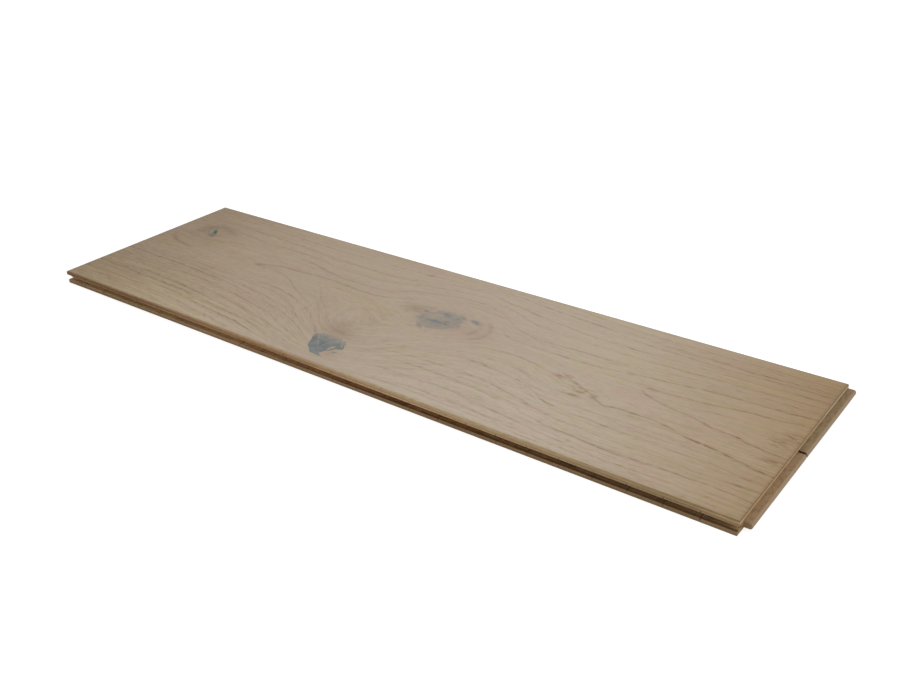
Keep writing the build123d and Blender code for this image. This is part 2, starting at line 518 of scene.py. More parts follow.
def fibre_place(along, across, up):
    """The across value after the knots have bent the fibres."""
    bent = across
    for spot in fibre_pulls:
        bent = bent + hill(along, across, spot["centre"], spot["reach"]) * spot["pull"]
    for knot in fibre_partings:
        push = hill(along, across, knot["centre"], knot["reach"]) * knot["share"]
        bent = bent - (across - knot["centre"][1]) * push
    slow = grain(wander_cell, along, across, up, detail=0.0)
    return bent + (slow - 0.5) * fibre_wander


# %% [markdown]
# ## Knots and their filler
# Three knots have fallen open and been stopped with slate-grey filler before the board was sanded.
# The filler broke away at its rims, so its outline is ragged, and in the middle knot it only
# clings in streaks. A straight-sided plate or an oval, torn by noise, gives each patch.


# %% Plates, ovals and loops
def plate_depth(along, across, corners):
    """Depth in millimetres inside a convex plate; its corners go round clockwise."""
    depth = None
    for (x0, y0), (x1, y1) in zip(corners, corners[1:] + corners[:1]):
        length = hypot(x1 - x0, y1 - y0)
        edge = ((across - y0) * ((x0 - x1) / length)) + ((along - x0) * ((y1 - y0) / length))
        depth = edge if depth is None else depth.at_most(edge)
    return depth


def oval_depth(along, across, centre, reach, turn=0.0):
    """Depth in millimetres inside an oval that is turned by some degrees."""
    over = along - centre[0]
    beyond = across - centre[1]
    long_way = (over * cos(radians(turn)) + beyond * sin(radians(turn))) / reach[0]
    short_way = (beyond * cos(radians(turn)) - over * sin(radians(turn))) / reach[1]
    radius = (long_way * long_way + short_way * short_way).math("SQRT")
    return (1.0 - radius) * reach[1]


def loop_line(along, across, centre, reach, width):
    """A thin oval line round a knot."""
    return (oval_depth(along, across, centre, reach) / width).bell()


# %% Filler in the low knot
low_knot_plate = [(309, 40), (315, 47.5), (336, 47.5), (342, 42), (342, 12), (329, 12.5), (318, 22)]
low_knot_lobe = [(339, 43), (342.5, 46), (346, 42), (351, 31), (346, 24.5), (340.5, 26)]
low_knot_bites = [
    zone(344.5, 20.5, 8, 4.8, turn=35),
    zone(340, 28.5, 3.2, 1.0, turn=75),
    zone(347.5, 28.3, 4.5, 1.2, turn=25),
    zone(315.5, 39.5, 4.0, 0.25, turn=-52),
    zone(344, 38.5, 3.6, 0.2, turn=-55),
]
low_knot_crack = zone(305, 45.5, 8, 0.8, turn=-44)
low_knot_crumb = zone(347.5, 23.8, 2.8, 1.2, turn=25)
low_knot_fade = (54.0, 33.0)
plate_tear = 4.0
plate_rim = (-0.2, 0.6)
bite_tear = 2.5
crumb_tear = 0.8
crumb_rim = (-0.3, 0.6)
crumb_share = 0.7
crack_rim = (-0.2, 0.5)
crack_share = 0.35
strand_cell = (1.6, 9.0)
strand_layer = 3.1
strand_reach = 9.0
print("bites out of the low knot's plate", len(low_knot_bites))


def low_knot_filler(along, across, tear):
    """A plate with a broken right rim that thins out at its top."""
    plate = plate_depth(along, across, low_knot_plate)
    plate = plate.at_least(plate_depth(along, across, low_knot_lobe)) + tear * plate_tear
    for bite in low_knot_bites:
        plate = plate.at_most(oval_depth(along, across, **bite) * -1.0 + tear * bite_tear)
    strand = noise(along / strand_cell[0], across / strand_cell[1], strand_layer) - 0.5
    cover = plate.step(*plate_rim) * (across + strand * strand_reach).step(*low_knot_fade)
    crack = oval_depth(along, across, **low_knot_crack) + tear * crumb_tear
    crumb = oval_depth(along, across, **low_knot_crumb) + tear * crumb_tear
    cover = cover.at_least(crumb.step(*crumb_rim) * crumb_share)
    return cover.at_least(crack.step(*crack_rim) * crack_share)


# %% Filler in the middle knot
middle_knot_veil = zone(387, 126, 27, 20, turn=12)
middle_knot_thin = zone(380, 130, 13, 5, turn=4)
middle_knot_dabs = [
    zone(386, 137.4, 8, 3.6, turn=-22, share=0.84),
    zone(399, 136.8, 4, 2.4, turn=-34, share=0.85),
    zone(402, 141, 5, 2.2, turn=-30, share=0.62),
    zone(416.5, 139.6, 6.5, 3.2, turn=-34, share=0.68),
    zone(384, 121.4, 9, 3.6, turn=2, share=1.0),
    zone(394, 126, 5.4, 2.4, turn=18, share=0.76),
    zone(395.5, 121.6, 4.4, 2.2, turn=-20, share=0.92),
    zone(376, 108, 7, 2.6, turn=-42, share=0.60),
    zone(386, 109.5, 6, 2.6, turn=8, share=0.52),
    zone(365.2, 134, 3.4, 2.2, turn=-20, share=0.72),
    zone(364, 141.6, 4, 2.0, turn=15, share=0.45),
]
veil_tear = 10.0
veil_streaks = 9.0
veil_rim = (-1.0, 7.0)
veil_share = 0.48
streak_in_veil = 0.5
thin_streaks = 8.0
thin_rim = (-2.0, 2.0)
thin_share = 0.2
dab_tear = 3.5
dab_streaks = 3.0
dab_rim = (-1.2, 1.8)
print("dabs in the middle knot", len(middle_knot_dabs))


def middle_knot_filler(along, across, tear, streaks):
    """A grey veil that is thin in its middle, and thicker dabs on it."""
    veil = oval_depth(along, across, **middle_knot_veil) + tear * veil_tear + streaks * veil_streaks
    thin = oval_depth(along, across, **middle_knot_thin) + streaks * thin_streaks
    share = veil_share - thin.step(*thin_rim) * thin_share + streaks * streak_in_veil
    cover = veil.step(*veil_rim) * share
    for dab in middle_knot_dabs:
        depth = oval_depth(along, across, dab["centre"], dab["reach"], dab["turn"])
        depth = depth + tear * dab_tear + streaks * dab_streaks
        cover = cover.at_least(depth.step(*dab_rim) * dab["share"])
    return cover.at_least(0.0)


# %% Filler in the left knot
left_knot_dabs = [
    zone(46.5, 162.8, 8, 2.4, turn=-46, share=0.95),
    zone(51, 156.5, 6, 3.2, turn=-58, share=1.0),
    zone(53, 151, 5, 3.2, turn=-35, share=0.72),
    zone(43.5, 155.6, 7.5, 1.6, turn=-44, share=0.6),
]
left_knot_hearts = [
    zone(49.8, 159, 6.5, 2.0, turn=-54, share=0.8),
    zone(53, 150.5, 5.0, 2.2, turn=-35, share=0.3),
]
stroke_tear = 1.4
stroke_rim = (-0.7, 0.9)
print("strokes in the left knot", len(left_knot_dabs))


def left_knot_filler(along, across, tear):
    """Narrow strokes that meet at their lower end."""
    cover = along * 0.0
    for dab in left_knot_dabs:
        depth = oval_depth(along, across, dab["centre"], dab["reach"], dab["turn"])
        cover = cover.at_least((depth + tear * stroke_tear).step(*stroke_rim) * dab["share"])
    return cover


# %% All the filler
tear_cell = (4.2, 4.2)
tear_layer = 0.4
filler_streak_cell = (9.0, 2.6)
filler_streak_layer = 7.7


def filler_share(along, across):
    """How much filler covers the wood, from 0 to 1."""
    long, wide = tear_cell
    tear = noise(along / long, across / wide, tear_layer, detail=4.0, roughness=0.62) - 0.5
    long, wide = filler_streak_cell
    streaks = noise(along / long, across / wide, filler_streak_layer, detail=3.0, roughness=0.6) - 0.5
    cover = low_knot_filler(along, across, tear)
    cover = cover.at_least(middle_knot_filler(along, across, tear, streaks))
    return cover.at_least(left_knot_filler(along, across, tear))


# %% [markdown]
# ## Colour of the walking face
# The face is brushed, stained a pale greige and sealed with a matt lacquer. Its colour goes from a
# browner left end to a paler middle and a warm right end. A ramp along the board sets that drift,
# and slow noise lays straw and rose clouds on it. Pale patches along the front are a painted sheen.
# Over these come long streaks that follow the fibres. All of them are thin glazes, because a glaze
# keeps the drift below it alive.

# %% Stain and painted sheen
# Tones along the face: browner at the left end, palest round the middle, warmer at the right end.
face_tone_drift = [
    (0, tint(151, 131, 107)), (85, tint(165, 145, 122)), (160, tint(173, 154, 132)),
    (310, tint(178, 160, 141)), (480, tint(182, 166, 148)), (565, tint(181, 165, 146)),
    (635, tint(174, 156, 135)), (680, tint(168, 148, 123)), (715, tint(161, 139, 110)),
    (730, tint(156, 132, 101)),
]
straw_glaze = (1.0, 0.985, 0.88, 1.0)
rose_glaze = (1.0, 0.93, 0.945, 1.0)
olive_glaze = (0.95, 0.985, 0.875, 1.0)
# Painted sheen: pale patches at the front of the face, round the middle and further left.
front_painted_sheen = tint(202, 188, 172)
painted_sheen_places = [zone(510, 0, 150, 62), zone(205, 0, 110, 34)]
rim_glaze = (0.87, 0.865, 0.84, 1.0)
rim_reach = (3.4, 1.0)
brown_glaze = (0.90, 0.86, 0.78, 1.0)
brown_corner = zone(730, 215, 165, 72)
yellow_corner = zone(50, 8, 170, 54)
yellow_glaze = (1.0, 0.985, 0.86, 1.0)
painted_sheen_share = 0.33
cloud_length = 120.0
cloud_height = 40.0
clouds_per_ring = 1.2
straw_clouds = (0.48, 0.75)
straw_share = 0.7
rose_clouds = (0.50, 0.28)
rose_share = 0.6
mottle_cell = (8.0, 6.0, 9.0)
olive_mottle = (0.50, 0.66)
rose_mottle = (0.48, 0.34)
print("stops of the stain", len(face_tone_drift))


def stain_and_sheen_colour(along, across, up, count):
    """Colour that drifts along the board, with clouds in it and a painted sheen at the front."""
    stain = along_ramp(along, face_tone_drift)
    # Painted sheen: the pale patches at the front of the face.
    for pale in painted_sheen_places:
        stain = mixed(hill(along, across, **pale) * painted_sheen_share, stain, front_painted_sheen)
    stain = glazed(hill(along, across, **brown_corner), stain, brown_glaze)
    stain = glazed(hill(along, across, **yellow_corner), stain, yellow_glaze)
    cloud = noise(along / cloud_length, count * clouds_per_ring, up / cloud_height)
    stain = glazed(cloud.step(*straw_clouds) * straw_share, stain, straw_glaze)
    stain = glazed(cloud.step(*rose_clouds) * rose_share, stain, rose_glaze)
    mottle = grain(mottle_cell, along, across, up, detail=3.0, roughness=0.65)
    stain = glazed(mottle.step(*olive_mottle), stain, olive_glaze)
    stain = glazed(mottle.step(*rose_mottle), stain, rose_glaze)
    rim = across.at_most(board_width - across).at_most(along).at_most(board_length - along)
    return glazed(rim.step(*rim_reach), stain, rim_glaze)


# %% Streaks along the fibres
wide_streak_glaze = (0.88, 0.865, 0.84, 1.0)
streak_glaze = (0.80, 0.775, 0.73, 1.0)
brushed_pale = tint(208, 192, 170)
wide_streaks = (0.46, 0.70)
wide_share = 0.45
thin_streaks_shown = (0.46, 0.72)
thin_streak_share = 0.36
brushed_fibres = (0.42, 0.75)
brushed_share = 0.20


def streaked(wood, streak, wide, fibre, lively):
    """Long darker streaks, and pale brushed fibres; calmer where lively is less than 1."""
    wood = glazed(wide.step(*wide_streaks) * lively * wide_share, wood, wide_streak_glaze)
    wood = glazed(streak.step(*thin_streaks_shown) * lively * thin_streak_share, wood, streak_glaze)
    return mixed(fibre.step(*brushed_fibres) * lively * brushed_share, wood, brushed_pale)


# %% Calm and lively places
calm_back = (130.0, 50.0)
lively_left = (220.0, 120.0)
calm_places = [zone(290, 85, 50, 40), zone(700, 25, 70, 45)]
calm_share = 0.4
lively_base = 0.5
lively_front_share = 0.5
lively_left_share = 0.2
print("calm places", len(calm_places))


def liveliness(along, across):
    """How strongly the streaks and pores show: less at the back and in the calm places."""
    lively = across.step(*calm_back) * lively_front_share
    lively = lively + along.step(*lively_left) * lively_left_share + lively_base
    for calm in calm_places:
        lively = lively * (1.0 - hill(along, across, **calm) * calm_share)
    return lively


# %% [markdown]
# ## Lines and pores
# In oak the spring wood of each ring is a row of open pores, so a ring is not an even line. It is a
# crowd of short dashes that point along the fibres. Where the ring slants, as in an arch, the
# dashes feather its edge. Rust-brown pores also gather in a few patches, most of them to the right.

# %% Ring lines
line_glaze = (0.47, 0.44, 0.40, 1.0)
warm_line_glaze = (0.55, 0.43, 0.36, 1.0)
warm_line_reach = (540.0, 690.0)
crumbly_right = (330.0, 540.0)
rust_glaze = (0.62, 0.46, 0.34, 1.0)
pore_patches = [
    zone(534, 99.5, 8, 5), zone(547, 97.5, 9, 2.5),
    zone(557, 88, 9, 7), zone(553, 79, 9, 2.5),
    zone(720, 78, 8, 5), zone(723, 120, 7, 5),
    zone(718, 107, 12, 8), zone(320, 199.5, 4, 2),
    zone(604, 122, 5, 2.5), zone(569, 85, 6, 3.5),
]
line_base = 0.45
pores_in_line = 0.45
pores_alone = 0.16
darkest_line = 0.9
rust_dashes = (0.42, 0.56)
rust_share = 0.75
print("patches of rust-brown pores", len(pore_patches))


def lined(wood, along, across, line, pores, dash, lively):
    """Rings as crowds of pores, then patches of rust-brown pores."""
    tone = mixed(along.step(*warm_line_reach), line_glaze, warm_line_glaze)
    dark = line * (pores * pores_in_line + line_base) + pores * lively * pores_alone
    wood = glazed(dark.at_most(darkest_line), wood, tone)
    rust = along * 0.0
    for patch in pore_patches:
        rust = rust.at_least(hill(along, across, **patch))
    return glazed(rust * dash.step(*rust_dashes) * rust_share, wood, rust_glaze)


# %% Marks round the knots
swirl = zone(48, 140, 36, 22, width=2.1)
brow = zone(54, 153, 25, 20.5, width=4.4)
eye = zone(322, 92, 21, 15, width=1.8)
right_bow = zone(391, 128, 36, 22, width=1.6)
far_right_bow = zone(391, 126, 48, 28, width=1.6)
knot_glaze = (0.66, 0.60, 0.54, 1.0)
halo_glaze = (0.74, 0.70, 0.67, 1.0)
halos = [
    zone(322, 58, 18, 14, share=0.60),
    zone(318, 71, 10, 6, share=0.25),
    zone(334, 53, 20, 8, share=0.35),
    zone(345, 20, 10, 7, share=0.50),
    zone(353, 133, 13, 8, share=0.75),
    zone(392, 128, 36, 22, share=0.42),
    zone(430, 122, 14, 13, share=0.20),
    zone(33, 158, 9, 10, share=0.62),
    zone(52, 171, 20, 6, share=0.08),
    zone(53, 151, 6, 5, share=0.95),
    zone(66, 130, 5, 9, share=0.22),
    zone(52, 156, 26, 20, share=0.30),
    zone(155, 123.3, 6, 2.6, share=0.45),
    zone(165, 123.5, 14, 4, share=0.25),
]
loop_sway = 8.0
loop_share = 0.6
swirl_front = (138.0, 126.0)
swirl_left = (75.0, 40.0)
brow_back = (158.0, 168.0)
brow_share = 0.7
eye_share = 0.3
bow_right = (412.0, 426.0)
far_bow_right = (420.0, 436.0)
bow_share = 0.6
deepest_halo = 0.9
print("halos", len(halos))


def knot_marked(wood, along, across, sway, broken):
    """Loops of bent rings round the knots, and the brown stain about them."""
    swayed = across + sway * loop_sway
    loops = loop_line(along, swayed, **swirl) * across.step(*swirl_front) * along.step(*swirl_left)
    loops = loops + loop_line(along, swayed, **brow) * across.step(*brow_back) * brow_share
    loops = loops + loop_line(along, swayed, **eye) * broken * eye_share
    for bow, reach in ((right_bow, bow_right), (far_right_bow, far_bow_right)):
        loops = loops + loop_line(along, swayed, **bow) * along.step(*reach) * broken * bow_share
    wood = glazed(loops.at_most(1.0) * loop_share, wood, knot_glaze)
    stain = along * 0.0
    for spot in halos:
        stain = stain + hill(along, across, spot["centre"], spot["reach"]) * spot["share"]
    return glazed(stain.at_most(deepest_halo), wood, halo_glaze)


# %% [markdown]
# ## The oak layer's finish
# Now the parts come together on the wear layer. Its sides are bare sawn oak, painted with shade
# and light along the board: dark at the left, pale in the middle and on the end face. Its bevel is
# painted darker than the face towards both ends, as painted shade. The face's own normal says which
# is which, so one material covers the whole piece without any change to its mesh.

# %% Sawn sides of the oak
# Painted light and shade: the sides are dark at the left, pale in the middle and on the end face.
oak_side_painted_shade = [
    (0, tint(122, 86, 50)), (95, tint(122, 86, 50)), (180, tint(149, 114, 77)),
    (285, tint(175, 141, 101)), (395, tint(181, 154, 115)), (505, tint(186, 161, 124)),
    (605, tint(173, 150, 112)), (690, tint(160, 140, 104)), (730, tint(178, 154, 119)),
]
# Painted shade: the bevel darkens towards both ends of the board.
oak_bevel_painted_shade = [
    (0, tint(134, 106, 68)), (95, tint(151, 124, 86)), (180, tint(158, 130, 95)),
    (285, tint(171, 144, 109)), (395, tint(179, 155, 119)), (505, tint(178, 154, 119)),
    (605, tint(165, 140, 105)), (686, tint(139, 114, 74)), (722, tint(134, 109, 72)),
    (730, tint(120, 95, 64)),
]
oak_sapwood = tint(186, 178, 156)
sapwood_reach = (150.0, 175.0)
side_line_glaze = (0.62, 0.55, 0.48, 1.0)
glue_line = (oak_underside + 1.0, oak_underside + 0.2)
glue_share = 0.7
end_face = (board_length - 1.5, board_length - 0.5)
sapwood_share = 0.6
side_streaks = (0.40, 0.70)
side_streak_share = 0.45
side_dashes = (0.45, 0.65)
side_dash_share = 0.35
saw_cell = (60.0, 60.0, 0.45)
saw_marks = (0.50, 0.66)
saw_share = 0.5
print("stops of the sawn sides", len(oak_side_painted_shade), "and of the bevel", len(oak_bevel_painted_shade))


def sawn_oak(along, across, up, streak, dash):
    """Bare oak with painted light and shade along the board, grain lines, greyer sapwood at the back of its
    end, and a dark glue line.
    """
    # The tone along the board is painted light and shade.
    bare = along_ramp(along, oak_side_painted_shade)
    sapwood = along.step(*end_face) * across.step(*sapwood_reach)
    bare = mixed(sapwood * sapwood_share, bare, oak_sapwood)
    bare = glazed(streak.step(*side_streaks) * side_streak_share, bare, side_line_glaze)
    bare = glazed(dash.step(*side_dashes) * side_dash_share, bare, side_line_glaze)
    saw = grain(saw_cell, along, across, up, detail=1.0)
    bare = glazed(saw.step(*saw_marks) * saw_share, bare, side_line_glaze)
    return glazed(up.step(*glue_line) * glue_share, bare, side_line_glaze)


# %% Colour of the filler
slate_dark = tint(107, 113, 112)
slate_light = tint(126, 129, 126)
slate_heart = tint(58, 68, 70)
earthy_glaze = (0.93, 0.86, 0.76, 1.0)
earthy_reach = (110.0, 90.0)
speck_cell = (6.0, 6.0, 6.0)
slate_specks = (0.35, 0.65)
heart_rim = (-0.6, 1.4)
print("dark hearts in the left knot", len(left_knot_hearts))


def slate_colour(along, across, up):
    """Speckled slate-grey filler, browner and with a dark heart in the left knot."""
    speck = grain(speck_cell, along, across, up, detail=4.0)
    heart = along * 0.0
    for spot in left_knot_hearts:
        depth = oval_depth(along, across, spot["centre"], spot["reach"], spot["turn"])
        heart = heart.at_least(depth.step(*heart_rim) * spot["share"])
    slate = mixed(speck.step(*slate_specks), slate_dark, slate_light)
    slate = glazed(along.step(*earthy_reach), slate, earthy_glaze)
    return mixed(heart, slate, slate_heart)


# %% Broken rings
ring_dash_height = 9.0
broken_length = 46.0
broken_per_ring = 3.0
broken_reach = (0.30, 0.60)
broken_share = 0.3
unbroken_share = 0.7
crumb_length = 7.0
crumbs_per_ring = 5.0
crumb_reach = (0.36, 0.60)
crumb_middle = 0.6
crumbled_share = 0.6
fine_ink_base = 0.3


def broken_rings(along, up, count, length, per_ring):
    """Noise that breaks every ring into dashes of its own."""
    return noise(along / length, count * per_ring, up / ring_dash_height)


def ring_lines(along, across, up, rings, broken):
    """The rings as lines that fade, break and crumble along the board."""
    main, fine, count = rings
    fine_ink = along * 0.0 + fine_ink_base
    for spot in fine_ring_places:
        fine_ink = fine_ink + hill(along, across, spot["centre"], spot["reach"]) * spot["share"]
    crumbled = broken_rings(along, up, count, crumb_length, crumbs_per_ring)
    crumbled = (crumbled.step(*crumb_reach) - crumb_middle) * along.step(*crumbly_right)
    main = main * (broken * broken_share + crumbled * crumbled_share + unbroken_share)
    return main.at_least(fine * broken * fine_ink)


# %% Oak finish
sway_cell = (34.0, 12.0, 20.0)
sway_reach = 1.6
shiver_cell = (8.0, 3.0, 9.0)
shiver_reach = 2.0
wide_cell = (150.0, 7.0, 7.0)
streak_cell = (75.0, 2.6, 1.6)
fibre_cell = (24.0, 1.0, 0.7)
dash_cell = (8.0, 1.0, 0.6)
open_pores = (0.50, 0.64)
bevel_dashes = (0.45, 0.60)
bevel_dash_share = 0.5
bevel_facing = (0.3, 0.6)
face_facing = (0.8, 0.95)
matt_base = 0.50
matt_streak = 0.16
matt_pore = 0.15
relief_base = 0.7
relief_pore = 0.5
relief_line = 0.2
relief_fibre = 0.25


def oak_face_finish():
    """Stained and lacquered face, bare sides."""
    finish, shader = new_finish("oak_greige_matt", gloss=0.25)
    tree = finish.node_tree
    along, across, up = place_on_board(tree)
    bent = fibre_place(along, across, up)
    sway = grain(sway_cell, along, across, up, detail=1.0) - 0.5
    shiver = grain(shiver_cell, along, across, up) - 0.5
    rings = growth_rings(along, across + sway * sway_reach + shiver * shiver_reach)
    count = rings[2]
    wide = grain(wide_cell, along, bent, up, detail=1.0)
    streak = grain(streak_cell, along, bent, up)
    fibre = grain(fibre_cell, along, bent, up, roughness=0.6)
    dash = grain(dash_cell, along, bent, up, roughness=0.6)
    broken = broken_rings(along, up, count, broken_length, broken_per_ring).step(*broken_reach)
    line = ring_lines(along, across, up, rings, broken)
    pores = dash.step(*open_pores)
    lively = liveliness(along, across)

    wood = stain_and_sheen_colour(along, across, up, count)
    wood = streaked(wood, streak, wide, fibre, lively)
    wood = lined(wood, along, across, line, pores, dash, lively)
    wood = knot_marked(wood, along, across, sway, broken)
    face = mixed(filler_share(along, across), wood, slate_colour(along, across, up))

    face_up = facing(tree)[2]
    # The bevel's tone carries painted shade towards both ends.
    bevel = along_ramp(along, oak_bevel_painted_shade)
    bevel = glazed(dash.step(*bevel_dashes) * bevel_dash_share, bevel, side_line_glaze)
    sawn = sawn_oak(along, across, up, streak, dash)
    edge = mixed(face_up.step(*bevel_facing), sawn, bevel)
    feed(shader.inputs["Base Color"], mixed(face_up.step(*face_facing), edge, face))
    feed(shader.inputs["Roughness"], streak * matt_streak + matt_base + pores * matt_pore)
    relief = relief_base - pores * relief_pore - line * relief_line + fibre * relief_fibre
    emboss(shader, relief, depth_m=0.0001, strength=0.3)
    return finish


oak_finish = oak_face_finish()
print("nodes in the oak finish", len(oak_finish.node_tree.nodes))


# %% [markdown]
# ## Finish of the core slats
# The slats lie across the board, so their fibres run from the grooved side to the tongued side.
# In the groove one looks at their open-pored cut ends, with painted shade near its mouth and a
# painted lift deep inside; along the end tongue one sees their long grain. Each slat came from
# another stick, so its tone is its own. The slat that a point belongs to follows from its place
# along the board, which needs no data on the mesh.

# %% Slat places and tones
slat_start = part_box("core_slat_01")[0].x
slat_pitch = (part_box("core_slat_02")[0].x - slat_start) * MM
front_slat_end = (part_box("core_end_slat_front")[1].y - oak_low.y) * MM
back_slat_start = (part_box("core_end_slat_back")[0].y - oak_low.y) * MM
butt_middle = (front_slat_end + back_slat_start) / 2
veneer_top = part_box("backing_veneer")[1].z * MM
print("slat pitch", round(slat_pitch, 2), "mm, butt at", round(butt_middle, 1), "mm from the front")

upper_lip = [
    (0, tint(155, 123, 91)), (95, tint(149, 114, 78)), (180, tint(177, 140, 103)),
    (285, tint(171, 128, 92)), (395, tint(203, 169, 130)), (505, tint(191, 159, 121)),
    (605, tint(175, 147, 113)), (730, tint(147, 118, 85)),
]
lower_lip = [
    (0, tint(150, 122, 91)), (95, tint(152, 124, 92)), (180, tint(165, 137, 101)),
    (285, tint(164, 131, 94)), (395, tint(158, 131, 99)), (505, tint(146, 117, 84)),
    (605, tint(150, 123, 90)), (730, tint(142, 114, 82)),
]
lip_turn = (5.0, 7.0)
# Painted shade and light in the groove: dark near its mouth, darkest to the right, and a paler tone deep
# inside as painted light against the shade of the recess.
groove_mouth_painted_shade = [
    (0, tint(182, 149, 110)), (230, tint(178, 144, 107)), (320, tint(150, 114, 80)),
    (400, tint(114, 80, 50)), (730, tint(96, 70, 44)),
]
groove_deep_painted_light = [
    (0, tint(208, 182, 140)), (300, tint(220, 186, 140)), (400, tint(206, 163, 117)),
    (560, tint(184, 150, 107)), (730, tint(174, 146, 104)),
]
groove_depths = (0.8, 4.4)
# This glaze darkens both the milling marks and the painted shade blotches.
milling_and_shade_glaze = (0.52, 0.44, 0.36, 1.0)
groove_shade_reach = (290.0, 350.0)
groove_reach = (0.42, 0.52)
groove_end = (8.0, 7.5)
groove_heights = (3.15, 3.25, 8.3, 8.6)
milling_cell = (26.0, 0.8, 2.0)
milling_marks = (0.44, 0.62)
milling_share = 0.5
# Painted shade: blotches that darken the right part of the groove.
groove_shade_cell = (16.0, 6.0)
groove_shade_layer = 4.4
groove_shade_blotches = (0.50, 0.68)
groove_shade_share = 0.6
oak_joint = (oak_underside - 0.5, oak_underside - 0.1)
veneer_joint = (veneer_top + 0.5, veneer_top + 0.1)
joint_share = 0.6
slat_ring_glaze = (0.62, 0.54, 0.45, 1.0)
slat_pore_glaze = (0.45, 0.38, 0.32, 1.0)
slat_tone_glaze = (0.80, 0.77, 0.73, 1.0)


# %% Lips and groove, with painted shade in the groove
def slat_colour(along, across, up):
    """Cut ends of the slats at the front, and the milled groove between its two lips, painted with shade at
    its mouth and lifted deep inside.
    """
    low, low_full, high_full, high = groove_heights
    inside = across.step(*groove_reach) * across.step(*groove_end)
    inside = inside * up.step(low, low_full) * up.step(high, high_full)
    # Painted shade at the groove's mouth, painted light deep inside.
    mouth = along_ramp(along, groove_mouth_painted_shade)
    groove = mixed(across.step(*groove_depths), mouth, along_ramp(along, groove_deep_painted_light))
    milling = grain(milling_cell, along, across, up).step(*milling_marks)
    # Painted shade blotches in the right part of the groove.
    shade_blotch = noise(along / groove_shade_cell[0], across / groove_shade_cell[1], groove_shade_layer)
    shade_blotch = shade_blotch.step(*groove_shade_blotches) * along.step(*groove_shade_reach)
    groove = glazed((milling * milling_share + shade_blotch * groove_shade_share).at_most(1.0), groove, milling_and_shade_glaze)
    lips = mixed(up.step(*lip_turn), along_ramp(along, lower_lip), along_ramp(along, upper_lip))
    wood = mixed(inside, lips, groove)
    joints = up.step(*oak_joint) + up.step(*veneer_joint)
    return glazed(joints * joint_share, wood, slat_ring_glaze)


# %% Slat finish
own_tone_share = 0.5
own_shift = 40.0
slat_ring_cell = (2.6, 90.0, 2.2)
slat_rings_shown = (0.40, 0.70)
slat_ring_share = 0.4
slat_fibre_cell = (0.5, 22.0, 0.5)
slat_pore_cell = (0.6, 5.0, 0.6)
slat_pores = (0.58, 0.7)
slat_pore_share = 0.45
slat_seed = 0.5
slat_seed_step = 3.0
raw_fuzz = 0.2
raw_relief_base = 0.5
raw_relief_fibre = 0.6
slat_relief_pore = 0.6


def raw_surface(shader, fibre, relief, roughness, depth_m, strength):
    """Unlacquered wood: its fibres roughen it, and a relief stands out of it."""
    feed(shader.inputs["Roughness"], fibre * raw_fuzz + roughness)
    emboss(shader, relief, depth_m, strength)


def core_slat_finish():
    """Sawn core wood, each slat with a tone of its own."""
    finish, shader = new_finish("core_slat_sawn", gloss=0.2)
    tree = finish.node_tree
    along, across, up = place_on_board(tree)
    own = chance((along / slat_pitch).math("FLOOR") * slat_seed_step + slat_seed)
    shift = own * own_shift
    long, wide, high = slat_ring_cell
    rings = noise((along + shift) / long, across / wide, up / high + shift)
    fibre = grain(slat_fibre_cell, along, across, up, detail=3.0, roughness=0.6)
    pore = grain(slat_pore_cell, along, across, up, detail=1.0).step(*slat_pores)
    wood = slat_colour(along, across, up)
    wood = glazed(own * own_tone_share, wood, slat_tone_glaze)
    wood = glazed(rings.step(*slat_rings_shown) * slat_ring_share, wood, slat_ring_glaze)
    wood = glazed(pore * slat_pore_share, wood, slat_pore_glaze)
    feed(shader.inputs["Base Color"], wood)
    relief = fibre * raw_relief_fibre - pore * slat_relief_pore + raw_relief_base
    raw_surface(shader, fibre, relief, roughness=0.68, depth_m=0.00025, strength=0.5)
    return finish


core_finish = core_slat_finish()
print("nodes in the slat finish", len(core_finish.node_tree.nodes))


# %% [markdown]
# ## Finish of the end slats
# The last row of the core carries the end tongue. Its two slats lie across the board as well, so
# the tongue shows long grain, mottled brown and olive, with its nose painted paler as a painted
# highlight. Where the two butt together the saw left a gap, painted dark as painted shade, and only
# the nose stays pale across it.

# %% End slats
tongue_front = tint(140, 113, 84)
tongue_back = tint(131, 111, 82)
# Painted highlight: the paler tone of the tongue's nose.
tongue_nose_painted_highlight = tint(139, 119, 94)
tongue_blotch_glaze = (0.80, 0.76, 0.70, 1.0)
# Painted shade: the dark of the gap where the two end slats butt.
butt_painted_shade = tint(60, 40, 26)
tongue_root = board_length
tongue_tip = (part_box("core_end_slat_front")[1].x - oak_low.x) * MM
nose_reach = (tongue_tip - 2.0, tongue_tip - 1.0)
tongue_turn = (86.0, 120.0)
tongue_reach = (tongue_root - 0.3, tongue_root - 0.1)
nose_highlight_share = 0.85
butt_front = (front_slat_end - 0.25, front_slat_end - 0.1)
butt_back = (back_slat_start + 0.25, back_slat_start + 0.1)
end_fibre_cell = (0.6, 22.0, 0.6)
end_pore_cell = (0.6, 6.0, 0.6)
end_pore_share = 0.25
end_relief_pore = 0.4
blotch_cell = (3.0, 5.0, 4.0)
blotches = (0.46, 0.62)
print("tongue from", round(tongue_root, 1), "to", round(tongue_tip, 1), "mm along")


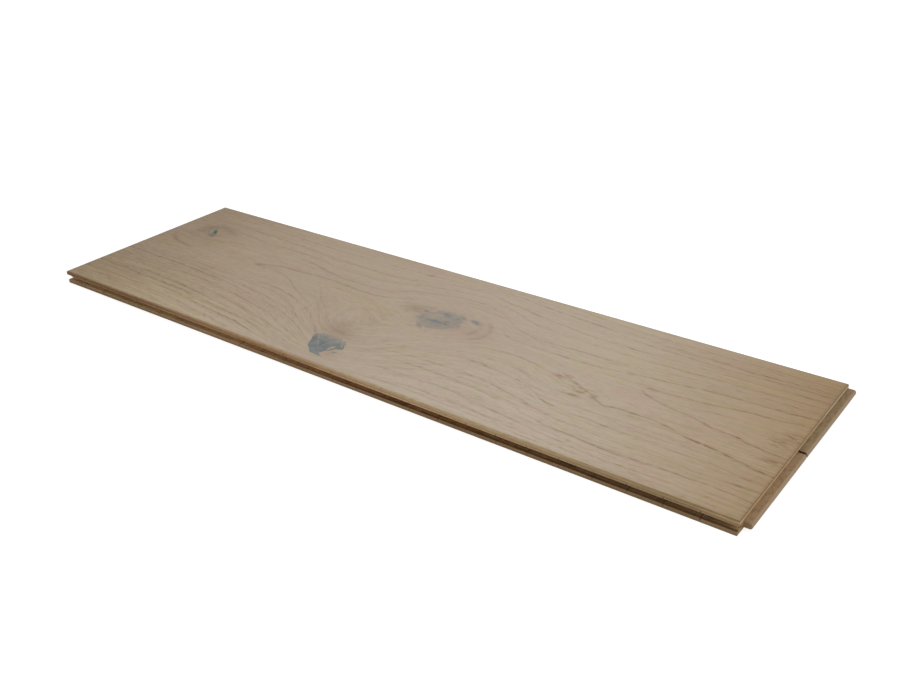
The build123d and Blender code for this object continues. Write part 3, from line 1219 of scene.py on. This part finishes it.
def end_slat_finish():
    """Long grain on the tongue with a painted highlight on its nose, cut ends at the front, and painted
    shade in the butt gap.
    """
    finish, shader = new_finish("core_end_slat_milled", gloss=0.2)
    tree = finish.node_tree
    along, across, up = place_on_board(tree)
    fibre = grain(end_fibre_cell, along, across, up, detail=3.0, roughness=0.6)
    pore = grain(end_pore_cell, along, across, up, detail=1.0).step(*slat_pores)
    blotch = grain(blotch_cell, along, across, up, detail=4.0, roughness=0.65)
    tongue = mixed(across.step(*tongue_turn), tongue_front, tongue_back)
    tongue = glazed(blotch.step(*blotches), tongue, tongue_blotch_glaze)
    # Painted highlight on the nose.
    tongue = mixed(along.step(*nose_reach) * nose_highlight_share, tongue, tongue_nose_painted_highlight)
    # Painted shade in the butt gap, stopping short of the nose.
    butt = across.step(*butt_front) * across.step(*butt_back) * along.step(*nose_reach[::-1])
    tongue = mixed(butt, tongue, butt_painted_shade)
    wood = mixed(along.step(*tongue_reach), slat_colour(along, across, up), tongue)
    wood = glazed(pore * end_pore_share, wood, slat_pore_glaze)
    feed(shader.inputs["Base Color"], wood)
    relief = fibre * raw_relief_fibre - pore * end_relief_pore + raw_relief_base
    raw_surface(shader, fibre, relief, roughness=0.66, depth_m=0.0002, strength=0.4)
    return finish


end_core_finish = end_slat_finish()
print("nodes in the end slat finish", len(end_core_finish.node_tree.nodes))


# %% [markdown]
# ## Finish of the backing veneer
# The bottom layer is peeled from a log on a lathe, so its grain runs with the board in wide, loose
# waves. It is raw, a little fuzzy, and darker on its cut edges.

# %% Peeled veneer
veneer_pale = tint(158, 130, 95)
veneer_dark = tint(130, 102, 70)
veneer_fibre = tint(178, 152, 116)
veneer_edge = [
    (0, tint(122, 97, 69)), (180, tint(133, 109, 81)), (395, tint(139, 113, 82)),
    (505, tint(129, 102, 71)), (730, tint(128, 105, 76)),
]
veneer_sway_cell = (260.0, 70.0)
veneer_sway = 6.0
veneer_figure_cell = (240.0, 16.0, 8.0)
veneer_bands = 46.0
veneer_band_share = 0.5
veneer_fibre_cell = (26.0, 0.6, 0.6)
veneer_fibres_shown = (0.35, 0.75)
veneer_fibre_share = 0.25
side_facing = (-0.5, -0.2)


def backing_veneer_finish():
    """Wavy peeled grain below, cut edges at the sides."""
    finish, shader = new_finish("backing_veneer_raw", gloss=0.2)
    tree = finish.node_tree
    along, across, up = place_on_board(tree)
    sway = noise(along / veneer_sway_cell[0], across / veneer_sway_cell[1], 0.0, detail=1.0)
    long, wide, high = veneer_figure_cell
    figure = noise(along / long, across / wide + sway * veneer_sway, up / high, detail=3.0)
    bands = (figure * veneer_bands).math("SINE") * 0.5 + 0.5
    fibre = grain(veneer_fibre_cell, along, across, up, detail=3.0, roughness=0.6)
    wood = mixed(bands * veneer_band_share, veneer_pale, veneer_dark)
    wood = mixed(facing(tree)[2].step(*side_facing), wood, along_ramp(along, veneer_edge))
    wood = mixed(fibre.step(*veneer_fibres_shown) * veneer_fibre_share, wood, veneer_fibre)
    feed(shader.inputs["Base Color"], wood)
    raw_surface(shader, fibre, fibre, roughness=0.66, depth_m=0.0002, strength=0.4)
    return finish


veneer_finish = backing_veneer_finish()
print("nodes in the veneer finish", len(veneer_finish.node_tree.nodes))

# %% [markdown]
# ## Dressing the solids
# Every solid keeps its mesh and its slots, and only the material in them changes. The four
# finishes share one ruler, so the figure runs on from piece to piece.

# %% Dress the CAD pieces
own_finishes = {
    "oak_wear_layer": oak_finish,
    "core_end_slat_front": end_core_finish,
    "core_end_slat_back": end_core_finish,
    "backing_veneer": veneer_finish,
}
for name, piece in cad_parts.items():
    for slot in piece.material_slots:
        slot.material = own_finishes.get(name, core_finish)
print("dressed", len(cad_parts), "pieces,", len(own_finishes), "of them not crosswise slats")

# %% [markdown]
# ## Floor, light and camera
# The board lies on a plain white floor in soft, even light. One broad lamp hangs above it, and a
# second stands off to the right, so that the tongued end is nearly as bright as the walking face
# while the grooved side is in gentle shade. The camera stands where the proportions of the face say
# it stood: it was worked out from the corners and edges of the board.

# %% Floor
floor_gap = 0.0001
floor_half = 4.0
floor_mesh = bpy.data.meshes.new("floor")
floor_bmesh = bmesh.new()
bmesh.ops.create_grid(floor_bmesh, x_segments=1, y_segments=1, size=floor_half)
bmesh.ops.translate(floor_bmesh, vec=(0.0, 0.0, -floor_gap), verts=floor_bmesh.verts)
floor_bmesh.to_mesh(floor_mesh)
floor_bmesh.free()
floor = bpy.data.objects.new("floor", floor_mesh)
bpy.context.scene.collection.objects.link(floor)


def seen_directly(tree):
    """1 for rays from the camera, a mirror or a glass, and 0 for light that bounces."""
    path = tree.nodes.new("ShaderNodeLightPath")
    share = Wire(path.outputs["Is Camera Ray"]).at_least(Wire(path.outputs["Is Glossy Ray"]))
    return share.at_least(Wire(path.outputs["Is Transmission Ray"]))


floor_bounce = (0.75, 0.75, 0.75, 1.0)
floor_seen = (0.45, 0.45, 0.45, 1.0)
floor_glow = 0.76
floor_finish, floor_shader = new_finish("floor_white", gloss=0.0)
floor_share = seen_directly(floor_finish.node_tree)
feed(floor_shader.inputs["Base Color"], mixed(floor_share, floor_bounce, floor_seen))
floor_shader.inputs["Roughness"].default_value = 1.0
floor_shader.inputs["Emission Color"].default_value = (1.0, 1.0, 1.0, 1.0)
feed(floor_shader.inputs["Emission Strength"], floor_share * floor_glow)
floor_mesh.materials.append(floor_finish)
print("floor", 2 * floor_half, "m wide,", floor_gap, "m below the board")

# %% Light
ambient_level = 0.58
world = bpy.data.worlds.new("studio")
bpy.context.scene.world = world
world.use_nodes = True
sky = world.node_tree.nodes["Background"]
sky.inputs["Color"].default_value = (1.0, 1.0, 1.0, 1.0)
feed(sky.inputs["Strength"], seen_directly(world.node_tree) * (1.0 - ambient_level) + ambient_level)


def soft_lamp(name, place, width, depth, watts):
    """A broad rectangular lamp that looks at the board."""
    lamp = bpy.data.lights.new(name, "AREA")
    lamp.shape = "RECTANGLE"
    lamp.size = width
    lamp.size_y = depth
    lamp.energy = watts
    holder = bpy.data.objects.new(name, lamp)
    holder.location = place
    holder.rotation_euler = (Vector(place) * -1.0).to_track_quat("-Z", "Y").to_euler()
    bpy.context.scene.collection.objects.link(holder)


soft_lamp("softbox", place=(0.7, 0.5, 1.7), width=2.0, depth=1.4, watts=8.0)
soft_lamp("fill", place=(1.7, -0.4, 0.8), width=1.4, depth=1.0, watts=13.0)
print("lamps", len(bpy.data.lights), "and ambient light", ambient_level)

# %% Camera
camera_place = Vector((0.5522, -0.6726, 0.4508))
camera_azimuth = 37.127
camera_elevation = 28.365
camera_roll = -1.368
camera_data = bpy.data.cameras.new("camera")
camera_data.sensor_width = 36.0
camera_data.lens = 42.442
camera = bpy.data.objects.new("camera", camera_data)
turn = Matrix.Rotation(radians(camera_azimuth), 4, "Z")
tilt = Matrix.Rotation(radians(90.0 - camera_elevation), 4, "X")
roll = Matrix.Rotation(radians(camera_roll), 4, "Z")
camera.matrix_world = Matrix.Translation(camera_place) @ turn @ tilt @ roll
bpy.context.scene.collection.objects.link(camera)
bpy.context.scene.camera = camera
bpy.context.scene.view_settings.view_transform = "Standard"
print("camera", round(camera_place.length, 3), "m from the middle of the underside")
